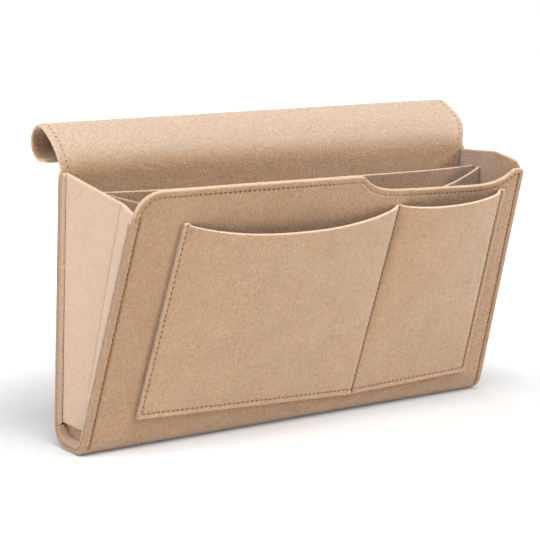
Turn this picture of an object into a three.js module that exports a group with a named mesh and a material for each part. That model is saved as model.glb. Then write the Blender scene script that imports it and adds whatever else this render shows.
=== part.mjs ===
// Bedside caddy of sewn felt, in millimetres, with +Z up.
// X runs along its length, -Y is the front that faces the room, and the origin is the middle of the
// flat strip that it stands on.
import * as THREE from 'three';

// Felt thicknesses and the clearance between sewn neighbours.
const WRAP_FELT = 3.2;
const GUSSET_FELT = 3;
const POCKET_FELT = 2.2;
const DIVIDER_FELT = 2;
const SEAM_GAP = 0.3;

// The wrap: one sheet that makes the front, the bottom, the back and the tuck flap.
const BASE_WIDTH = 334;
const FRONT_TAPER = 12;
const BACK_TAPER = 3;
const FLAP_STEP = 1.5;
const FLAT_DEPTH = 24;
const FRONT_BEND_RADIUS = 5;
const BACK_BEND_RADIUS = 10.5;
const FRONT_HEIGHT = 172;
const BACK_HEIGHT = 177;
const FRONT_LEAN = radians(16.5);

// The top edge of the front: a round corner, a scoop over the narrow pocket and a tight corner.
const ROUND_CORNER_RADIUS = 18;
const TIGHT_CORNER_RADIUS = 4;
const SCOOP_REACH = 34;
const SCOOP_SHOULDER = 2;
const SCOOP_DEPTH = 11;
const SCOOP_POWER = 6;
const TIGHT_CORNER_DROP = 3;

// The tuck flap: a rise that leans back from the crease, then a curl that hooks down and forward.
const RISE_ANGLE = radians(80);
const RISE_TURN = radians(45);
const RISE_RADIUS = 40;
const CURL_TURN = radians(215);
const CURL_RADIUS = 11;
const FLAP_END_LENGTH = 7;

// The gussets: webs that join front and back, with flanges that turn outwards under the seams.
// A soft crease runs down each web, at a share of the way from the back to the front.
const FLANGE_WIDTH = 5.5;
// The left one drops below the front's round corner, and the right one stays high behind the tight corner.
const GUSSET_FOOT_BACK = 18;
const GUSSET_FOOT_CREASE = 14.5;
const GUSSET_FOOT_FRONT = 12.5;
const GUSSET_DROP_BACK = 2;
const LEFT_DROP_CREASE = 12.5;
const LEFT_DROP_FRONT = 15;
const RIGHT_RISE_CREASE = 4;
const RIGHT_DROP_FRONT = 1.5;
const CREASE_SHARE = 0.7;
const CREASE_DEPTH = 2.5;

// The dividers inside, standing on the bottom and sewn to the gussets.
const REAR_SPACE_FOOT = 12;
const REAR_SPACE_TOP = 35;
const MIDDLE_SPACE_FOOT = 9;
const MIDDLE_SPACE_TOP = 10;
const DIVIDER_DROP = 9;
const DIVIDER_SCOOP = 22;
const DIVIDER_SCOOP_POWER = 2.4;

// The pocket panel on the front: its margins to the front's edges, and its narrow pocket.
const POCKET_FOOT = 16;
const POCKET_LEFT_DROP = 21.7;
const POCKET_SPLIT_DROP = 22;
const POCKET_RIGHT_DROP = 16.5;
const POCKET_LEFT_MARGIN = 35;
const POCKET_RIGHT_MARGIN = 15;
const NARROW_FOOT_WIDTH = 107;
const NARROW_TOP_WIDTH = 91;
const WIDE_POCKET_SCOOP = 8.5;
const NARROW_POCKET_SCOOP = 1.5;
const POCKET_SCOOP_POWER = 2.4;
const POCKET_BULGE = 10;
const POCKET_BULGE_POWER = 0.45;
const POCKET_FLAT = 7;

// The sewing thread: each row is one run of thread, drawn as a low ribbon on the felt.
const THREAD_WIDTH = 1;
const THREAD_HEIGHT = 0.6;
const EDGE_INSET = 4.5;
const FLANGE_INSET = 4.3;
const HEM_INSET = 4;
const POCKET_INSET = 4;
const ROW_END = 2;

// Steps for round stretches.
const ARC_STEPS = 6;
const SCOOP_STEPS = 16;
const GUSSET_STEPS = 8;
const BULGE_COLUMNS = 9;
const BULGE_ROWS = 7;

// Colours.
const WRAP_COLOUR = '#c4a684';
const GUSSET_COLOUR = '#dcc3aa';
const POCKET_COLOUR = '#c2a280';
const DIVIDER_COLOUR = '#b3936f';
const THREAD_COLOUR = '#96714c';
const FELT_ROUGHNESS = 0.95;
const THREAD_ROUGHNESS = 0.7;

// Sizes that follow from the driving dimensions.
const backFace = FLAT_DEPTH / 2 + BACK_BEND_RADIUS;
const backInside = backFace - WRAP_FELT;
const frontBend = new THREE.Vector2(-FLAT_DEPTH / 2, FRONT_BEND_RADIUS);
const backBend = new THREE.Vector2(FLAT_DEPTH / 2, BACK_BEND_RADIUS);
const frontOutward = new THREE.Vector2(-Math.cos(FRONT_LEAN), -Math.sin(FRONT_LEAN));
const frontFoot = frontBend.clone().addScaledVector(frontOutward, FRONT_BEND_RADIUS - WRAP_FELT);
const frontLength = (FRONT_HEIGHT - frontFoot.y) / Math.cos(FRONT_LEAN);
const flapWidth = BASE_WIDTH - 2 * BACK_TAPER - 2 * FLAP_STEP;
const hingeRoom = WRAP_FELT / 2 + SEAM_GAP;

function radians(degrees) {
  return degrees * Math.PI / 180;
}

function mix(a, b, share) {
  return a + (b - a) * share;
}

// Half the width of the back and of the front at a height.
function backHalf(z) {
  const share = (z - BACK_BEND_RADIUS) / (BACK_HEIGHT - BACK_BEND_RADIUS);
  return BASE_WIDTH / 2 - BACK_TAPER * share;
}

function frontHalf(z) {
  const share = (z - frontFoot.y) / (FRONT_HEIGHT - frontFoot.y);
  return BASE_WIDTH / 2 - FRONT_TAPER * share;
}

// The front's inside face at a height.
function frontInside(z) {
  return frontFoot.x - (z - frontFoot.y) * Math.tan(FRONT_LEAN);
}

// Points of an arc about a centre, from one angle to another.
function arc(centre, radius, from, to) {
  const points = [];
  for (let step = 0; step <= ARC_STEPS; step += 1) {
    const angle = mix(from, to, step / ARC_STEPS);
    points.push(new THREE.Vector2(Math.cos(angle), Math.sin(angle)).multiplyScalar(radius).add(centre));
  }
  return points;
}

// A path moved sideways, to the left of its own direction.
function aside(path, distance) {
  return path.map((point, index) => {
    const before = path[Math.max(index - 1, 0)];
    const after = path[Math.min(index + 1, path.length - 1)];
    const along = after.clone().sub(before).normalize();
    return new THREE.Vector2(point.x - along.y * distance, point.y + along.x * distance);
  });
}

// The outline of a path given a thickness.
function thicken(path, thickness) {
  const left = aside(path, thickness / 2);
  const right = aside(path, -thickness / 2);
  return [...right, ...left.reverse()];
}

// A plate cut to an outline, from z = 0 up to its thickness.
function plate(outline, thickness) {
  return new THREE.ExtrudeGeometry(new THREE.Shape(outline), { depth: thickness, bevelEnabled: false });
}

// A profile in Y and Z drawn out along X, about a middle.
function lengthwise(outline, width, middle = 0) {
  const solid = plate(outline, width);
  solid.translate(0, 0, middle - width / 2);
  const axes = [new THREE.Vector3(0, 1, 0), new THREE.Vector3(0, 0, 1), new THREE.Vector3(1, 0, 0)];
  return solid.applyMatrix4(new THREE.Matrix4().makeBasis(...axes));
}

function indexed(points, index) {
  const solid = new THREE.BufferGeometry().setFromPoints(points);
  solid.setIndex(index);
  solid.computeVertexNormals();
  return solid;
}

// A solid through loops of points that match one to one, each seen anticlockwise from the last loop.
// A wall's two faces are split along the same diagonal, the shorter one, so the wall keeps its thickness.
function lofted(loops) {
  const count = loops[0].length;
  const points = loops.flat();
  const index = [];
  for (let level = 0; level + 1 < loops.length; level += 1) {
    for (let i = 0; i < count; i += 1) {
      const [a, b] = [level * count + i, level * count + (i + 1) % count];
      const [c, d] = [b + count, a + count];
      const rising = points[a].distanceTo(points[c]) < points[b].distanceTo(points[d]);
      index.push(...(rising ? [a, b, c, a, c, d] : [a, b, d, b, c, d]));
    }
  }
  const last = points.length - count;
  const contour = loops[0].map((point) => new THREE.Vector2(point.x, point.y));
  for (const [a, b, c] of THREE.ShapeUtils.triangulateShape(contour, [])) {
    index.push(c, b, a, last + a, last + b, last + c);
  }
  return indexed(points, index);
}

// A dip in a top edge: full depth in the middle, none at its ends.
function scoop(x, left, right, depth, power) {
  const share = Math.abs((2 * x - left - right) / (right - left));
  return share < 1 ? depth * (1 - share ** power) : 0;
}

const caddy = new THREE.Group();
caddy.name = 'bedside_caddy';

function add(parent, name, geometry, colour, roughness = FELT_ROUGHNESS) {
  const material = new THREE.MeshStandardMaterial({ color: colour, roughness, metalness: 0 });
  const mesh = new THREE.Mesh(geometry, material);
  mesh.name = name;
  parent.add(mesh);
  return mesh;
}

// A run of thread along a path in its parent's plane, resting on a surface at a height over that plane.
function addRow(parent, name, path, height) {
  const ribbon = plate(thicken(path, THREAD_WIDTH), THREAD_HEIGHT);
  const row = add(parent, name, ribbon, THREAD_COLOUR, THREAD_ROUGHNESS);
  row.position.z = height + SEAM_GAP;
}

// A straight path between two points, kept clear of both ends.
function straight(from, to) {
  const along = to.clone().sub(from).normalize();
  return [from.clone().addScaledVector(along, ROW_END), to.clone().addScaledVector(along, -ROW_END)];
}

// The bottom: the sheet's front bend, the flat strip it stands on, and its back bend.
const bottomPath = [
  ...arc(frontBend, FRONT_BEND_RADIUS - WRAP_FELT / 2, Math.PI + FRONT_LEAN, 1.5 * Math.PI),
  ...arc(backBend, BACK_BEND_RADIUS - WRAP_FELT / 2, 1.5 * Math.PI, 2 * Math.PI),
];
add(caddy, 'bottom_fold', lengthwise(thicken(bottomPath, WRAP_FELT), BASE_WIDTH), WRAP_COLOUR);

// The back: an upright panel, a little narrower at its top, that ends below the flap's crease.
const back = new THREE.Group();
back.rotation.x = Math.PI / 2;
back.position.y = backFace;
caddy.add(back);
const backFoot = BACK_BEND_RADIUS + SEAM_GAP;
const backTop = BACK_HEIGHT - hingeRoom;
const backOutline = [
  new THREE.Vector2(-backHalf(backFoot), backFoot),
  new THREE.Vector2(backHalf(backFoot), backFoot),
  new THREE.Vector2(backHalf(backTop), backTop),
  new THREE.Vector2(-backHalf(backTop), backTop),
];
add(back, 'back_panel', plate(backOutline, WRAP_FELT), WRAP_COLOUR);

// The front: a panel that leans outwards from the lower bend. Its pocket and its sewing lean with it.
const front = new THREE.Group();
front.rotation.x = Math.PI / 2 + FRONT_LEAN;
front.position.set(0, frontFoot.x, frontFoot.y);
caddy.add(front);

// The front's left or right edge at a height up the slope, moved in by an inset.
function frontEdge(side, height, inset) {
  const half = BASE_WIDTH / 2 - FRONT_TAPER * height / frontLength;
  return new THREE.Vector2(side * (half - inset), height);
}

// The pocket panel's corners and the ends of its split, in the front's own plane.
const pocketLeft = {
  foot: frontEdge(-1, POCKET_FOOT, POCKET_LEFT_MARGIN),
  top: frontEdge(-1, frontLength - POCKET_LEFT_DROP, POCKET_LEFT_MARGIN),
};
const pocketRight = {
  foot: frontEdge(1, POCKET_FOOT, POCKET_RIGHT_MARGIN),
  top: frontEdge(1, frontLength - POCKET_RIGHT_DROP, POCKET_RIGHT_MARGIN),
};
const pocketSplit = {
  foot: new THREE.Vector2(pocketRight.foot.x - NARROW_FOOT_WIDTH, POCKET_FOOT),
  top: new THREE.Vector2(pocketRight.top.x - NARROW_TOP_WIDTH, frontLength - POCKET_SPLIT_DROP),
};

// The top edge from the right corner to the left one, moved in by an inset.
function frontTop(inset) {
  const right = frontEdge(1, frontLength - TIGHT_CORNER_DROP - TIGHT_CORNER_RADIUS, TIGHT_CORNER_RADIUS);
  const left = frontEdge(-1, frontLength - ROUND_CORNER_RADIUS, ROUND_CORNER_RADIUS);
  const scoopRight = right.x - SCOOP_SHOULDER;
  const scoopLeft = pocketSplit.top.x - SCOOP_REACH;
  const points = arc(right, Math.max(TIGHT_CORNER_RADIUS - inset, THREAD_WIDTH), 0, Math.PI / 2);
  for (let step = 0; step <= SCOOP_STEPS; step += 1) {
    const x = mix(scoopRight, scoopLeft, step / SCOOP_STEPS);
    const dip = scoop(x, scoopLeft, scoopRight, SCOOP_DEPTH, SCOOP_POWER);
    const fall = mix(TIGHT_CORNER_DROP, 0, step / SCOOP_STEPS);
    points.push(new THREE.Vector2(x, frontLength - fall - dip - inset));
  }
  return [...points, ...arc(left, ROUND_CORNER_RADIUS - inset, Math.PI / 2, Math.PI)];
}
const frontOutline = [frontEdge(-1, SEAM_GAP, 0), frontEdge(1, SEAM_GAP, 0), ...frontTop(0)];
add(front, 'front_panel', plate(frontOutline, WRAP_FELT), WRAP_COLOUR);

// The tuck flap: the rise and three strips of the curl, each turning on a line across the felt.
// A strip starts at its own turning line with a round edge and stops just short of the next line.
function flapStrip(start, heading, radius, turn, endLength) {
  const centre = new THREE.Vector2(start.x + radius * Math.sin(heading), start.y - radius * Math.cos(heading));
  const cut = endLength > 0 ? 0 : hingeRoom / radius;
  const path = arc(centre, radius, heading + Math.PI / 2, heading + Math.PI / 2 - turn + cut);
  const onward = heading - turn;
  const next = new THREE.Vector2(centre.x - radius * Math.sin(onward), centre.y + radius * Math.cos(onward));
  if (endLength > 0) {
    path.push(new THREE.Vector2(next.x + endLength * Math.cos(onward), next.y + endLength * Math.sin(onward)));
  }
  return { path, next, onward, start, heading };
}
const crease = new THREE.Vector2(backFace - WRAP_FELT / 2, BACK_HEIGHT);
const curlNames = ['flap_crown', 'flap_heel', 'flap_tip'];
const curlTurn = CURL_TURN / curlNames.length;
const flapStrips = { flap_rise: flapStrip(crease, RISE_ANGLE, RISE_RADIUS, RISE_TURN, 0) };
let previous = flapStrips.flap_rise;
for (const name of curlNames) {
  const endLength = name === curlNames[curlNames.length - 1] ? FLAP_END_LENGTH : 0;
  flapStrips[name] = flapStrip(previous.next, previous.onward, CURL_RADIUS, curlTurn, endLength);
  previous = flapStrips[name];
}
for (const [name, strip] of Object.entries(flapStrips)) {
  const sheet = thicken(strip.path, WRAP_FELT);
  const roundEdge = arc(strip.start, WRAP_FELT / 2, strip.heading + Math.PI / 2, strip.heading + 1.5 * Math.PI);
  add(caddy, name, lengthwise([...sheet, ...roundEdge.slice(1, -1)], flapWidth), WRAP_COLOUR);
}

// The inside of a web at a place between the back and the front, pressed in towards its crease.
function webInside(y, z) {
  const share = (backInside - y) / (backInside - frontInside(z));
  const pressed = Math.min(share / CREASE_SHARE, (1 - share) / (1 - CREASE_SHARE)) * CREASE_DEPTH;
  return mix(backHalf(z), frontHalf(z), share) - FLANGE_WIDTH - GUSSET_FELT - pressed;
}

// The gussets: a channel section that narrows towards its foot, with its flanges under both seams.
function gussetLoop(backHeight, creaseHeight, frontHeight) {
  const flangeBack = backInside - SEAM_GAP;
  const flangeFront = frontInside(frontHeight) + SEAM_GAP / Math.cos(FRONT_LEAN);
  const frontThickness = GUSSET_FELT / Math.cos(FRONT_LEAN);
  const backEdge = backHalf(backHeight);
  const frontSide = frontHalf(frontHeight);
  const creaseY = mix(backInside, frontInside(creaseHeight), CREASE_SHARE);
  const creaseX = webInside(creaseY, creaseHeight);
  return [
    new THREE.Vector3(backEdge, flangeBack, backHeight),
    new THREE.Vector3(backEdge - FLANGE_WIDTH - GUSSET_FELT, flangeBack, backHeight),
    new THREE.Vector3(creaseX, creaseY, creaseHeight),
    new THREE.Vector3(frontSide - FLANGE_WIDTH - GUSSET_FELT, flangeFront, frontHeight),
    new THREE.Vector3(frontSide, flangeFront, frontHeight),
    new THREE.Vector3(frontSide, flangeFront + frontThickness, frontHeight),
    new THREE.Vector3(frontSide - FLANGE_WIDTH, flangeFront + frontThickness, frontHeight),
    new THREE.Vector3(creaseX + GUSSET_FELT, creaseY, creaseHeight),
    new THREE.Vector3(backEdge - FLANGE_WIDTH, flangeBack - GUSSET_FELT, backHeight),
    new THREE.Vector3(backEdge, flangeBack - GUSSET_FELT, backHeight),
  ];
}

function mirrored(loop) {
  return loop.map((point) => new THREE.Vector3(-point.x, point.y, point.z)).reverse();
}
const gussetTopBack = BACK_HEIGHT - GUSSET_DROP_BACK;

// The loops of a gusset from its foot to its top, which is lower by the drops at its crease and its front.
function gussetLoops(creaseDrop, frontDrop) {
  const loops = [];
  for (let step = 0; step <= GUSSET_STEPS; step += 1) {
    const share = step / GUSSET_STEPS;
    const backHeight = mix(GUSSET_FOOT_BACK, gussetTopBack, share);
    const creaseHeight = mix(GUSSET_FOOT_CREASE, FRONT_HEIGHT - creaseDrop, share);
    const frontHeight = mix(GUSSET_FOOT_FRONT, FRONT_HEIGHT - frontDrop, share);
    loops.push(gussetLoop(backHeight, creaseHeight, frontHeight));
  }
  return loops;
}
add(caddy, 'right_gusset', lofted(gussetLoops(-RIGHT_RISE_CREASE, RIGHT_DROP_FRONT)), GUSSET_COLOUR);
const leftLoops = gussetLoops(LEFT_DROP_CREASE, LEFT_DROP_FRONT).map(mirrored);
add(caddy, 'left_gusset', lofted(leftLoops), GUSSET_COLOUR);

// The dividers: leaning sheets between the gussets, one straight on top and one scooped.
function addDivider(name, footDepth, topDepth, scoopDepth) {
  const [footY, topY] = [backInside - footDepth, backInside - topDepth];
  const floor = WRAP_FELT + SEAM_GAP;
  const top = gussetTopBack - DIVIDER_DROP;
  const lean = Math.atan2(footY - topY, top - floor);
  const foot = floor + DIVIDER_FELT / 2 * Math.sin(lean);
  const length = (top - foot) / Math.cos(lean);
  const footHalf = webInside(footY, foot) - 2 * SEAM_GAP;
  const topHalf = webInside(topY, top) - 2 * SEAM_GAP;
  const outline = [new THREE.Vector2(-footHalf, 0), new THREE.Vector2(footHalf, 0)];
  for (let step = 0; step <= SCOOP_STEPS; step += 1) {
    const x = mix(topHalf, -topHalf, step / SCOOP_STEPS);
    const dip = scoop(x, -topHalf, topHalf, scoopDepth, DIVIDER_SCOOP_POWER);
    outline.push(new THREE.Vector2(x, length - dip));
  }
  const divider = add(caddy, name, plate(outline, DIVIDER_FELT), DIVIDER_COLOUR);
  divider.geometry.translate(0, 0, -DIVIDER_FELT / 2);
  divider.rotation.x = Math.PI / 2 + lean;
  divider.position.set(0, footY, foot);
}
const rearFoot = REAR_SPACE_FOOT + DIVIDER_FELT / 2;
const rearTop = REAR_SPACE_TOP + DIVIDER_FELT / 2;
addDivider('rear_divider', rearFoot, rearTop, 0);
const frontDividerFoot = rearFoot + DIVIDER_FELT + MIDDLE_SPACE_FOOT;
const frontDividerTop = rearTop + DIVIDER_FELT + MIDDLE_SPACE_TOP;
addDivider('front_divider', frontDividerFoot, frontDividerTop, DIVIDER_SCOOP);

// The pocket panel: one sheet, sewn flat at its edges and at the split, that stands off between seams.
// The columns of one pocket between two seams: a flat margin, the swelling, and a flat margin.
function pocketColumns(left, right, scoopDepth) {
  const columns = [];
  for (let step = 0; step <= BULGE_COLUMNS; step += 1) {
    const share = step / BULGE_COLUMNS;
    const footX = mix(left.foot.x + POCKET_FLAT, right.foot.x - POCKET_FLAT, share);
    const topX = mix(left.top.x + POCKET_FLAT, right.top.x - POCKET_FLAT, share);
    const across = (topX - left.top.x) / (right.top.x - left.top.x);
    const dip = scoop(topX, left.top.x, right.top.x, scoopDepth, POCKET_SCOOP_POWER);
    const atSeam = step === 0 || step === BULGE_COLUMNS;
    columns.push({
      foot: new THREE.Vector2(footX, POCKET_FOOT),
      top: new THREE.Vector2(topX, mix(left.top.y, right.top.y, across) - dip),
      swell: atSeam ? 0 : Math.sin(Math.PI * share) ** POCKET_BULGE_POWER,
    });
  }
  return columns;
}

const pocketGrid = [
  { ...pocketLeft, swell: 0 },
  ...pocketColumns(pocketLeft, pocketSplit, WIDE_POCKET_SCOOP),
  { ...pocketSplit, swell: 0 },
  ...pocketColumns(pocketSplit, pocketRight, NARROW_POCKET_SCOOP),
  { ...pocketRight, swell: 0 },
];

// A sheet over a grid of columns, each running from its foot to its top, swelling out towards the top.
function swellingSheet(grid, base) {
  const points = [];
  const column = BULGE_ROWS + 2;
  const layer = grid.length * column;
  for (const lift of [0, POCKET_FELT]) {
    for (const { foot, top, swell } of grid) {
      points.push(new THREE.Vector3(foot.x, foot.y, base + lift));
      for (let row = 0; row <= BULGE_ROWS; row += 1) {
        const up = mix(POCKET_FLAT / (top.y - foot.y), 1, row / BULGE_ROWS);
        const out = swell * POCKET_BULGE * row / BULGE_ROWS;
        points.push(new THREE.Vector3(mix(foot.x, top.x, up), mix(foot.y, top.y, up), base + out + lift));
      }
    }
  }
  const index = [];
  for (let start = 0; start + column < layer; start += column) {
    for (let a = start; a + 1 < start + column; a += 1) {
      const [b, c, d] = [a + column, a + column + 1, a + 1];
      index.push(c, b, a, d, c, a);
      index.push(layer + a, layer + b, layer + c, layer + a, layer + c, layer + d);
    }
  }
  const rim = [];
  for (let a = 0; a + column < layer; a += column) rim.push(a);
  for (let a = layer - column; a + 1 < layer; a += 1) rim.push(a);
  for (let a = layer - 1; a > column; a -= column) rim.push(a);
  for (let a = column - 1; a > 0; a -= 1) rim.push(a);
  rim.forEach((a, i) => {
    const b = rim[(i + 1) % rim.length];
    index.push(a, b, layer + b, a, layer + b, layer + a);
  });
  return indexed(points, index);
}
const pocketBase = WRAP_FELT + SEAM_GAP;
add(front, 'pocket_panel', swellingSheet(pocketGrid, pocketBase), POCKET_COLOUR);

// The rows of thread that sew the gussets to the back, seen beside the webs on the flanges.
const flangeFace = WRAP_FELT + SEAM_GAP + GUSSET_FELT;
for (const [name, side] of [['left_back_seam', -1], ['right_back_seam', 1]]) {
  const seam = (height) => new THREE.Vector2(side * (backHalf(height) - FLANGE_INSET), height);
  addRow(back, name, straight(seam(GUSSET_FOOT_BACK), seam(gussetTopBack)), flangeFace);
}

// The rows that sew the gussets to the front, and the row that follows its top edge between them.
for (const [name, side, corner] of [
  ['left_front_seam', -1, ROUND_CORNER_RADIUS],
  ['right_front_seam', 1, TIGHT_CORNER_DROP + TIGHT_CORNER_RADIUS],
]) {
  const foot = frontEdge(side, 0, EDGE_INSET);
  addRow(front, name, straight(foot, frontEdge(side, frontLength - corner, EDGE_INSET)), WRAP_FELT);
}
addRow(front, 'front_top_hem', frontTop(HEM_INSET), WRAP_FELT);

// The rows that sew the pocket panel to the front: down its left, up its right, at its split and its foot.
const pocketFace = pocketBase + POCKET_FELT;
for (const [name, edge, inset] of [
  ['pocket_left_seam', pocketLeft, POCKET_INSET],
  ['pocket_split_seam', pocketSplit, 0],
  ['pocket_right_seam', pocketRight, -POCKET_INSET],
]) {
  const foot = new THREE.Vector2(edge.foot.x + inset, edge.foot.y + POCKET_INSET);
  const top = new THREE.Vector2(edge.top.x + inset, edge.top.y);
  addRow(front, name, straight(foot, top), pocketFace);
}
const footRow = POCKET_FOOT + POCKET_INSET - THREAD_WIDTH;
const footRowPath = straight(
  new THREE.Vector2(pocketLeft.foot.x + POCKET_INSET, footRow),
  new THREE.Vector2(pocketRight.foot.x - POCKET_INSET, footRow),
);
addRow(front, 'pocket_foot_seam', footRowPath, pocketFace);

// The hems of the flap: a row beside each end of every strip, which starts clear of the turning line.
const hemLift = WRAP_FELT / 2 + SEAM_GAP + THREAD_HEIGHT / 2;
for (const [name, strip] of Object.entries(flapStrips)) {
  const hem = thicken(aside(strip.path.slice(1), hemLift), THREAD_HEIGHT);
  for (const [end, side] of [['left', -1], ['right', 1]]) {
    const row = lengthwise(hem, THREAD_WIDTH, side * (flapWidth / 2 - EDGE_INSET));
    add(caddy, `${name}_${end}_hem`, row, THREAD_COLOUR, THREAD_ROUGHNESS);
  }
}

export default caddy;
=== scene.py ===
import math

import bpy
import numpy as np
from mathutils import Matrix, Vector


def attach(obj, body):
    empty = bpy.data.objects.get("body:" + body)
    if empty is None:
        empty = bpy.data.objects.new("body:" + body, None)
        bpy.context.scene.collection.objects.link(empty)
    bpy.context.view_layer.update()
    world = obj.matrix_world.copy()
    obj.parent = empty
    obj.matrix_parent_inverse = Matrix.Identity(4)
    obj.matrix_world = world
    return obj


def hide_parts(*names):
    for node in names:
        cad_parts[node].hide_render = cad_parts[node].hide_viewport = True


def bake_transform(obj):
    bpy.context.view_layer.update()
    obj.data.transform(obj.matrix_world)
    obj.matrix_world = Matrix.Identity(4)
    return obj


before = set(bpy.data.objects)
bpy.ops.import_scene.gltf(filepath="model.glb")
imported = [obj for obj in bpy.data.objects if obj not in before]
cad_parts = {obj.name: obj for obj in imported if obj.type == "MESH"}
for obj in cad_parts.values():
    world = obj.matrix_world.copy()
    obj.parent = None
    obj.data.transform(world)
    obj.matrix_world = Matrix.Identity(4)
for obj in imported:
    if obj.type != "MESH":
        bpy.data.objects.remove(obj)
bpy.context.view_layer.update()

# Camera: it stands to the left of the front and a little above the caddy, with a long lens.
CAMERA_AZIMUTH = math.radians(-35.60)
CAMERA_ELEVATION = math.radians(8.89)
CAMERA_DISTANCE = 1.157
CAMERA_TARGET = Vector((-0.0123, 0, 0.1036))
CAMERA_LENS = 113.333
CAMERA_SENSOR = 36
away = Vector((
    math.sin(CAMERA_AZIMUTH) * math.cos(CAMERA_ELEVATION),
    -math.cos(CAMERA_AZIMUTH) * math.cos(CAMERA_ELEVATION),
    math.sin(CAMERA_ELEVATION),
))
bpy.ops.object.camera_add(location=CAMERA_TARGET + away * CAMERA_DISTANCE)
camera = bpy.context.object
camera.rotation_euler = (-away).to_track_quat("-Z", "Y").to_euler()
camera.data.lens = CAMERA_LENS
camera.data.sensor_width = CAMERA_SENSOR
bpy.context.scene.camera = camera

# Studio: a pale floor, wide soft lamps at the left, overhead and behind, and a smaller one in front. The
# camera sees a darker floor than the caddy does, so that the shadow shows, and a glow that grows away
# from the caddy makes the floor as white as the world behind it.
WHITE = (1, 1, 1, 1)
FLOOR_SIZE = 12
FLOOR_COLOUR = (0.9, 0.9, 0.9, 1)
FLOOR_SEEN = (0.5, 0.5, 0.5, 1)
FLOOR_GLOW = (0.12, 1.0)
FLOOR_GLOW_REACH = (0.2, 0.6)
WORLD_LIGHT = 0.30
LAMPS = {
    "left_lamp": ((-1.3, 0.0, 0.95), 1.0, 14.5),
    "top_lamp": ((-0.2, -0.7, 1.65), 1.0, 37.5),
    "front_lamp": ((1.1, -1.3, 1.1), 0.5, 19.5),
    "back_lamp": ((0.5, 1.7, 1.0), 1.0, 10.0),
}


def give(tree, node, inputs):
    """Sets a node's inputs, each to a value or to the output of another node."""
    for label, value in inputs.items():
        if isinstance(value, bpy.types.NodeSocket):
            tree.links.new(value, node.inputs[label])
        else:
            node.inputs[label].default_value = value


def add_node(tree, kind, inputs):
    node = tree.nodes.new(kind)
    give(tree, node, inputs)
    return node


def math_node(tree, operation, *values):
    node = tree.nodes.new("ShaderNodeMath")
    node.operation = operation
    give(tree, node, dict(enumerate(values)))
    return node.outputs[0]


def mixed(tree, factor, first, second):
    """A colour between two others."""
    node = tree.nodes.new("ShaderNodeMix")
    node.data_type = "RGBA"
    give(tree, node, {"Factor": factor, "A": first, "B": second})
    return node.outputs["Result"]


def new_material(name):
    material = bpy.data.materials.new(name)
    material.use_nodes = True
    return material, material.node_tree


scene = bpy.context.scene
scene.view_settings.view_transform = "Standard"
bpy.ops.mesh.primitive_plane_add(size=FLOOR_SIZE)
floor = bpy.context.object
floor.name = "studio_floor"
floor_material, floor_tree = new_material("studio_floor")
floor_place = floor_tree.nodes.new("ShaderNodeTexCoord").outputs["Object"]
floor_distance = add_node(floor_tree, "ShaderNodeVectorMath", {0: floor_place})
floor_distance.operation = "LENGTH"
floor_fade = add_node(floor_tree, "ShaderNodeMapRange", {
    "Value": floor_distance.outputs["Value"],
    "From Min": FLOOR_GLOW_REACH[0],
    "From Max": FLOOR_GLOW_REACH[1],
    "To Min": FLOOR_GLOW[0],
    "To Max": FLOOR_GLOW[1],
})
camera_sees = floor_tree.nodes.new("ShaderNodeLightPath").outputs["Is Camera Ray"]
give(floor_tree, floor_tree.nodes["Principled BSDF"], {
    "Base Color": mixed(floor_tree, camera_sees, FLOOR_COLOUR, FLOOR_SEEN),
    "Roughness": 1,
    "Specular IOR Level": 0,
    "Emission Color": WHITE,
    "Emission Strength": math_node(floor_tree, "MULTIPLY", floor_fade.outputs["Result"], camera_sees),
})
floor.data.materials.append(floor_material)
for lamp_name, (place, size, power) in LAMPS.items():
    bpy.ops.object.light_add(type="AREA", location=place)
    lamp = bpy.context.object
    lamp.name = lamp_name
    lamp.rotation_euler = (CAMERA_TARGET - Vector(place)).to_track_quat("-Z", "Y").to_euler()
    lamp.data.size = size
    lamp.data.energy = power
world = bpy.data.worlds.new("studio_world")
scene.world = world
world.use_nodes = True
world_tree = world.node_tree
sky = world_tree.nodes["Background"]
give(world_tree, sky, {"Color": WHITE, "Strength": WORLD_LIGHT})
backdrop = add_node(world_tree, "ShaderNodeBackground", {"Color": WHITE})
camera_sees = world_tree.nodes.new("ShaderNodeLightPath").outputs["Is Camera Ray"]
either = add_node(
    world_tree, "ShaderNodeMixShader", {0: camera_sees, 1: sky.outputs[0], 2: backdrop.outputs[0]})
give(world_tree, world_tree.nodes["World Output"], {"Surface": either.outputs[0]})

# The wrap: one sheet of thick beige felt, cut from a roll, that makes the front, the bottom, the back and
# the tuck flap. It is folded along its length, so each piece of it is cut flat and then laid round one
# line: down the front, along the bottom, up the back and over the curl. All sizes are in millimetres.
MM = 0.001
WRAP_FELT = 3.2
FRONT_LENGTH = 174.70
FRONT_TO_CORNER = 177.24
FRONT_LEAN = math.radians(16.5)
BACK_MIDDLE = 20.9
BACK_HEIGHT = 177
FLAT_CORNER = 14.54
FRONT_BEND = 12
BACK_BEND = 14
CREASE_ANGLE = math.radians(10)
CREASE_REACH = 3
RISE_RADIUS = 40
RISE_TURN = math.radians(45)
CURL_RADIUS = 11
CURL_TURN = math.radians(215)
CURL_JOINTS = 3
FLAP_END = 7
BASE_HALF = 167
FRONT_TAPER = 12
BACK_TAPER = 3
FLAP_STEP = 1.5
LEFT_LEANS = (0, -2.5, -1, 2, 0.2)
RIGHT_LEANS = (0, 0, 0, 17.5, 16.5)
RIGHT_FLARE = 5
CURL_BACK = 1.5
CURL_BACK_TWIST = -1.0
CURL_LIFT = 2.5
CURL_LIFT_TWIST = 2.5
CUT_SHARE = 0.3
LINE_STEP = 0.1
CUT_ANGLES = (30, 60, 90)
SMOOTH_ANGLE = math.radians(50)
FINE_STEP = 0.8
SEAM_POINTS = 40
LEAST_LENGTH = 1e-12

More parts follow.
